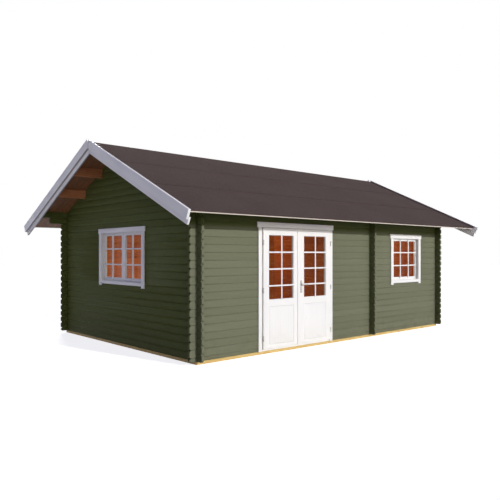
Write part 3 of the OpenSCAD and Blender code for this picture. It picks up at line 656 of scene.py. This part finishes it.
def cut_off(bm, point, normal):
    """Saws off what lies past a plane and closes the cut."""
    cut = bmesh.ops.bisect_plane(bm, geom=bm.verts[:] + bm.edges[:] + bm.faces[:], plane_co=point,
                                 plane_no=normal, clear_outer=True)["geom_cut"]
    bmesh.ops.edgeloop_fill(bm, edges=[e for e in cut if isinstance(e, bmesh.types.BMEdge)])


def slope_place():
    """Frame of the front roof slope: y runs up along it to the ridge, z is square to its underside."""
    ridge = boards_high.z - ROOF_T / math.cos(PITCH)
    return Matrix.Translation((0, 0, ridge)) @ Matrix.Rotation(PITCH, 4, "X")


def roof_boards():
    """Boards from the ridge to the eave, V-jointed, on both slopes."""
    for side, node in ((1, "front_roof_boards"), (-1, "back_roof_boards")):
        bm = bmesh.new()
        low = Vector((-ROOF_HALF, -SLOPE_LEN, 0.0))
        high = Vector((ROOF_HALF, RIDGE_SPARE, ROOF_T))
        board_row(bm, low, high, ROOF_BOARD_W, ROOF_V)
        bmesh.ops.transform(bm, matrix=slope_place(), verts=bm.verts)
        cut_off(bm, (0, 0, 0), (0, 1, 0))
        bmesh.ops.scale(bm, vec=(1, side, 1), verts=bm.verts)
        bmesh.ops.recalc_face_normals(bm, faces=bm.faces)
        finish(node + "_jointed", bm, "cabin", "bare_pine", ROOF_PINE, node)


def felt_upstands():
    """The felt turned up against the barge boards at both ends of each slope."""
    foot = ROOF_T + FELT_T
    for side, slope in ((1, "front"), (-1, "back")):
        bm = bmesh.new()
        for x in (-ROOF_HALF, ROOF_HALF - FELT_T):
            bar(bm, (x, -SLOPE_LEN, foot), (x + FELT_T, -UPSTAND_STOP, foot + UPSTAND_H), FELT_EDGE)
        bmesh.ops.transform(bm, matrix=slope_place(), verts=bm.verts)
        bmesh.ops.scale(bm, vec=(1, side, 1), verts=bm.verts)
        bmesh.ops.recalc_face_normals(bm, faces=bm.faces)
        finish(slope + "_felt_upstands", bm, "cabin", "roof_felt", FELT)


def floor_boards():
    """Boards of both rooms, cut back at the door frame."""
    low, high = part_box("floor_boards")
    left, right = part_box("partition_peak_logs")
    gap = low.x + HALF_LEN - LOG_T
    door_low, door_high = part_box("door_frame")
    bm = bmesh.new()
    board_row(bm, low, Vector((left.x - gap, high.y, high.z)), FLOOR_BOARD_W, FLOOR_V)
    board_row(bm, Vector((right.x + gap, low.y, low.z)), high, FLOOR_BOARD_W, FLOOR_V)
    for vert in bm.verts:
        if door_low.x < vert.co.x < door_high.x and vert.co.y < 0:
            vert.co.y = max(vert.co.y, door_high.y)
    finish("floor_boards_jointed", bm, "cabin", "bare_pine", FLOOR_PINE, "floor_boards")


def carcass():
    """Beams, joists and purlins with eased edges, and the finish of the felt."""
    eased_copy("foundation_beams_sawn", "foundation_beams", "bare_pine", BEAM_PINE, BEAM_EDGE)
    eased_copy("floor_joists_sawn", "floor_joists", "bare_pine", BEAM_PINE, BEAM_EDGE)
    eased_copy("ridge_purlin_planed", "ridge_purlin", "bare_pine", PURLIN_PINE, BEAM_EDGE)
    eased_copy("side_purlins_planed", "side_purlins", "bare_pine", PURLIN_PINE, BEAM_EDGE)
    for node in ("front_roof_felt", "back_roof_felt"):
        felt = frame["nodes"][node]
        felt.data.materials.clear()
        felt.data.materials.append(FELT)


# White joinery

def joinery():
    """Everything that is painted white or cream, with rounded edges."""
    paints = {
        CREAM_BATTEN: ("eave_battens",),
        WHITE_BARGE: ("left_barge_boards", "right_barge_boards", "inner_barge_boards"),
        WHITE_UPRIGHT: (
            "door_frame", "door_stops", "door_trim", "left_door_leaf", "right_door_leaf",
            "front_window_frame", "front_window_sash", "front_window_trim",
            "gable_window_frame", "gable_window_sashes", "gable_window_trim",
        ),
    }
    for paint, nodes in paints.items():
        for node in nodes:
            eased_copy(node + "_painted", node, "white_paint", paint, JOINERY_EDGE, 2)


def grille(bm, base, half_w, half_h, face, proud, columns, rows):
    """Bars planted on the outer face of a sash and lapped on its members, at the given places."""
    before = set(bm.verts)
    half = GRILLE_W / 2
    reach_x = half_w + GRILLE_LAP
    reach_y = half_h + GRILLE_LAP

    def in_front(edge):
        return min(v.co.z for v in edge.verts) > face + proud / 2

    for x in columns:
        bar(bm, (x - half, -reach_y, face), (x + half, reach_y, face + proud), GRILLE_EDGE,
            lambda edge: runs_along(edge, 1) and in_front(edge))
    starts = [-reach_x] + [x + half for x in columns]
    ends = [x - half for x in columns] + [reach_x]
    for y in rows:
        for start, end in zip(starts, ends):
            bar(bm, (start, y - half, face), (end, y + half, face + proud), GRILLE_EDGE,
                lambda edge: runs_along(edge, 0) and in_front(edge))
    bmesh.ops.transform(bm, matrix=base, verts=[v for v in bm.verts if v not in before])


def beads(bm, base, half_w, half_h, depth):
    """Glazing beads of one light on both sides of its glass, which lies on the XY plane of base."""
    for turn in (0.0, math.pi):
        glass_face = base @ Matrix.Rotation(turn, 4, "Y") @ Matrix.Translation((0, 0, BEAD_FOOT))
        ring(bm, glass_face, half_w, half_h, BEAD_W, depth - BEAD_SETBACK, BEAD_EDGE)


def light_of(node):
    """Middle and half sizes of the light that a sheet of glass or a panel in the front wall fills."""
    low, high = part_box(node)
    return (low + high) / 2, (high.x - low.x) / 2 - SEAT, (high.z - low.z) / 2 - SEAT


def panel_boards(bm, low, high):
    """Upright boards side by side with faint V joints."""
    width = (high.x - low.x) / PANEL_BOARDS
    for i in range(PANEL_BOARDS):
        x = low.x + i * width
        bar(bm, (x, low.y, low.z), (x + width, high.y, high.z), PANEL_V, lambda edge: runs_along(edge, 2))


def bevel_field(bm, low, high):
    """Slopes the four borders of a raised field that faces -Y."""
    for co, out in ((low, (-1, 0)), (high, (1, 0)), (low, (0, -1)), (high, (0, 1))):
        across, up = out
        point = (co.x - across * FIELD_BEVEL_W, low.y, co.z - up * FIELD_BEVEL_W)
        normal = (across * FIELD_BEVEL_D, -FIELD_BEVEL_W, up * FIELD_BEVEL_D)
        cut_off(bm, point, normal)
    bmesh.ops.recalc_face_normals(bm, faces=bm.faces)


def door_leaf_details(leaf):
    """Glazing bars of one leaf, and its boarded lower panel with a raised field and inner mouldings."""
    body = leaf + "_leaf"
    low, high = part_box(leaf + "_door_leaf")
    middle, half_w, half_h = light_of(leaf + "_door_glass")
    depth = middle.y - low.y
    base = Matrix.Translation(middle) @ FACING_FRONT
    bm = bmesh.new()
    beads(bm, base, half_w, half_h, depth)
    grille(bm, base, half_w, half_h, depth, DOOR_GRILLE_PROUD, (0.0,), DOOR_GRILLE_ROWS)
    finish(leaf + "_door_glazing_bars", bm, body, "white_paint", WHITE_UPRIGHT)

    sheet_low, sheet_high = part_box(leaf + "_door_panel")
    sheet_face = sheet_high.y - PANEL_T
    middle, half_w, half_h = light_of(leaf + "_door_panel")
    reach = Vector((half_w - FIELD_GAP, 0, half_h - FIELD_GAP))
    field_low = Vector((middle.x, sheet_low.y, middle.z)) - reach
    field_high = Vector((middle.x, sheet_face, middle.z)) + reach
    bm = bmesh.new()
    panel_boards(bm, field_low, field_high)
    bevel_field(bm, field_low, field_high)
    panel_boards(bm, Vector((sheet_low.x, sheet_face, sheet_low.z)), sheet_high)
    finish(leaf + "_door_panel_boards", bm, body, "white_paint", WHITE_UPRIGHT, leaf + "_door_panel")

    bm = bmesh.new()
    place = Matrix.Translation((middle.x, sheet_high.y, middle.z)) @ FACING_BACK
    rise = high.y - sheet_high.y - MOULDING_SETBACK
    ring(bm, place, half_w, half_h, MOULDING_W, rise, MOULDING_EDGE)
    finish(leaf + "_door_panel_mouldings", bm, body, "white_paint", WHITE_UPRIGHT)


def window_details():
    """Glazing bars of the front window, and of the two sashes of the gable window."""
    middle, half_w, half_h = light_of("front_window_glass")
    depth = middle.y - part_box("front_window_sash")[0].y
    base = Matrix.Translation(middle) @ FACING_FRONT
    bm = bmesh.new()
    beads(bm, base, half_w, half_h, depth)
    grille(bm, base, half_w, half_h, depth, WINDOW_GRILLE_PROUD, FRONT_GRILLE_COLUMNS, FRONT_GRILLE_ROWS)
    finish("front_window_glazing_bars", bm, "cabin", "white_paint", WHITE_UPRIGHT)

    low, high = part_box("gable_window_sashes")
    glass_low, glass_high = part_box("gable_window_glass")
    middle = (low + high) / 2
    half_w = (high.y - low.y) / 4 - (glass_low.y - low.y) - SEAT
    half_h = (glass_high.z - glass_low.z) / 2 - SEAT
    off = (high.y - low.y) / 4
    bm = bmesh.new()
    for side in (-1, 1):
        base = Matrix.Translation((middle.x, middle.y - side * off, middle.z)) @ FACING_LEFT
        beads(bm, base, half_w, half_h, middle.x - low.x)
        grille(bm, base, half_w, half_h, middle.x - low.x, WINDOW_GRILLE_PROUD,
               (side * (GABLE_GRILLE_COLUMN - off),), GABLE_GRILLE_ROWS)
    finish("gable_window_glazing_bars", bm, "cabin", "white_paint", WHITE_UPRIGHT)


# Glass and metal

def glass_and_metal():
    """The finish of the panes, and hinges, handle plates and lever with eased edges."""
    for node in ("left_door_glass", "right_door_glass", "front_window_glass", "gable_window_glass"):
        sheet = frame["nodes"][node]
        sheet.data.materials.clear()
        sheet.data.materials.append(PANE)
    for node in ("left_door_hinge_halves", "right_door_hinge_halves", "frame_hinge_halves"):
        eased_copy(node + "_turned", node, "satin_steel", METAL, HINGE_EDGE, 2)
    eased_copy("handle_plates_pressed", "handle_plates", "satin_steel", METAL, PLATE_EDGE, 2)
    eased_copy("door_lever_bent", "door_lever", "satin_steel", METAL, LEVER_EDGE)


def lock_details():
    """Screws and the lock cylinder on both handle plates."""
    low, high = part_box("handle_plates")
    bm = bmesh.new()
    x = (low.x + high.x) / 2
    for y, outwards in ((low.y, FACING_FRONT), (high.y, FACING_BACK)):
        for z in (low.z + SCREW_INSET, high.z - SCREW_INSET):
            dome(bm, Matrix.Translation((x, y, z)) @ outwards, SCREW_R, SCREW_PROUD)
        lock = Matrix.Translation((x, y, low.z + CYLINDER_RISE))
        dome(bm, lock @ outwards, CYLINDER_R, CYLINDER_PROUD)
    finish("handle_plate_screws", bm, "right_leaf", "satin_steel", METAL)


def hinge_caps():
    """Domed caps on the ends of the hinge barrels."""
    for leaf in ("left", "right"):
        joint = next(j for j in record["behaviour"]["joints"] if j["name"] == leaf + "_door_hinge")
        x, y, _ = joint["pos_m"]
        low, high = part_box(leaf + "_door_hinge_halves")
        levels = (low.z, (low.z + high.z - BARREL_H) / 2, high.z - BARREL_H)
        for part, body, rise in (("upper", leaf + "_leaf", BARREL_H), ("lower", "cabin", -BARREL_H)):
            bm = bmesh.new()
            for z in levels:
                dome(bm, Matrix.Translation((x, y, z + rise)), CAP_R, CAP_PROUD)
            finish(leaf + "_door_hinge_caps_" + part, bm, body, "satin_steel", METAL)


# Light, floor and camera

def sees_background(work):
    """One for rays that see the plain background: from the camera, by reflection or through glass."""
    path = work.add("ShaderNodeLightPath").outputs
    seen = work.math("MAXIMUM", path["Is Camera Ray"], path["Is Glossy Ray"])
    return work.math("MAXIMUM", seen, path["Is Transmission Ray"])


def daylight():
    """A sky that is bright low down in front, the sun in front of the cabin and a soft light behind it."""
    world = bpy.data.worlds.new("daylight")
    bpy.context.scene.world = world
    world.use_nodes = True
    work = Tree(world.node_tree)
    sky = world.node_tree.nodes["Background"]
    direction = work.add("ShaderNodeTexCoord").outputs["Generated"]
    towards = work.add("ShaderNodeSeparateXYZ", {0: direction}).outputs
    sunward = work.span(towards["Y"], *SUNWARD, 1.0, 0.0)
    near_ground = work.span(towards["Z"], *NEAR_GROUND, 1.0, 0.0)
    light = work.mix(work.math("MULTIPLY", sunward, near_ground), SKY_COOL, SKY_SUNWARD)
    work.feed(sky.inputs["Color"], work.mix(sees_background(work), light, WHITE))
    for name, (rays, strength, width) in SUN_LAMPS.items():
        sun = bpy.data.lights.new(name, "SUN")
        sun.energy = strength
        sun.angle = math.radians(width)
        lamp = bpy.data.objects.new(name, sun)
        bpy.context.scene.collection.objects.link(lamp)
        lamp.rotation_euler = Vector(rays).to_track_quat("-Z", "Y").to_euler()


def room_lamps():
    """A soft lamp in each room, so that the timber shows through the glass."""
    for name, (place, power) in ROOM_LAMPS.items():
        light = bpy.data.lights.new(name, "POINT")
        light.energy = power
        light.shadow_soft_size = ROOM_LAMP_R
        light.color = ROOM_LAMP_COLOUR
        lamp = bpy.data.objects.new(name, light)
        bpy.context.scene.collection.objects.link(lamp)
        lamp.location = place
        lamp.visible_camera = False
        lamp.visible_glossy = False
        lamp.visible_transmission = False


def ground():
    """A pale floor that is white to the camera and still takes a shadow."""
    bm = bmesh.new()
    below = Matrix.Translation((0, 0, -FLOOR_DROP))
    bmesh.ops.create_grid(bm, x_segments=1, y_segments=1, size=FLOOR_HALF, matrix=below)
    mesh = bpy.data.meshes.new("floor")
    bm.to_mesh(mesh)
    bm.free()
    floor = bpy.data.objects.new("floor", mesh)
    bpy.context.scene.collection.objects.link(floor)
    made = bpy.data.materials.new("pale_floor")
    made.use_nodes = True
    work = Tree(made.node_tree)
    shader = made.node_tree.nodes["Principled BSDF"]
    shader.inputs["Base Color"].default_value = FLOOR_COLOUR
    shader.inputs["Roughness"].default_value = FLOOR_ROUGHNESS
    shader.inputs["Specular IOR Level"].default_value = 0.0
    shader.inputs["Emission Color"].default_value = WHITE
    work.feed(shader.inputs["Emission Strength"], work.math("MULTIPLY", sees_background(work), FLOOR_GLOW))
    mesh.materials.append(made)


def camera():
    """A level camera where the photograph was taken from."""
    lens = bpy.data.cameras.new("camera")
    lens.lens = LENS_MM
    lens.sensor_width = SENSOR_MM
    lens.shift_y = LENS_SHIFT
    lens.clip_end = VIEW_REACH
    view = bpy.data.objects.new("camera", lens)
    bpy.context.scene.collection.objects.link(view)
    view.location = EYE
    view.rotation_euler = (LEVEL, 0.0, EYE_TURN)
    bpy.context.scene.camera = view


bpy.context.scene.view_settings.view_transform = "Standard"
log_walls()
carcass()
roof_boards()
felt_upstands()
floor_boards()
joinery()
for leaf in ("left", "right"):
    door_leaf_details(leaf)
window_details()
glass_and_metal()
lock_details()
hinge_caps()
daylight()
room_lamps()
ground()
camera()
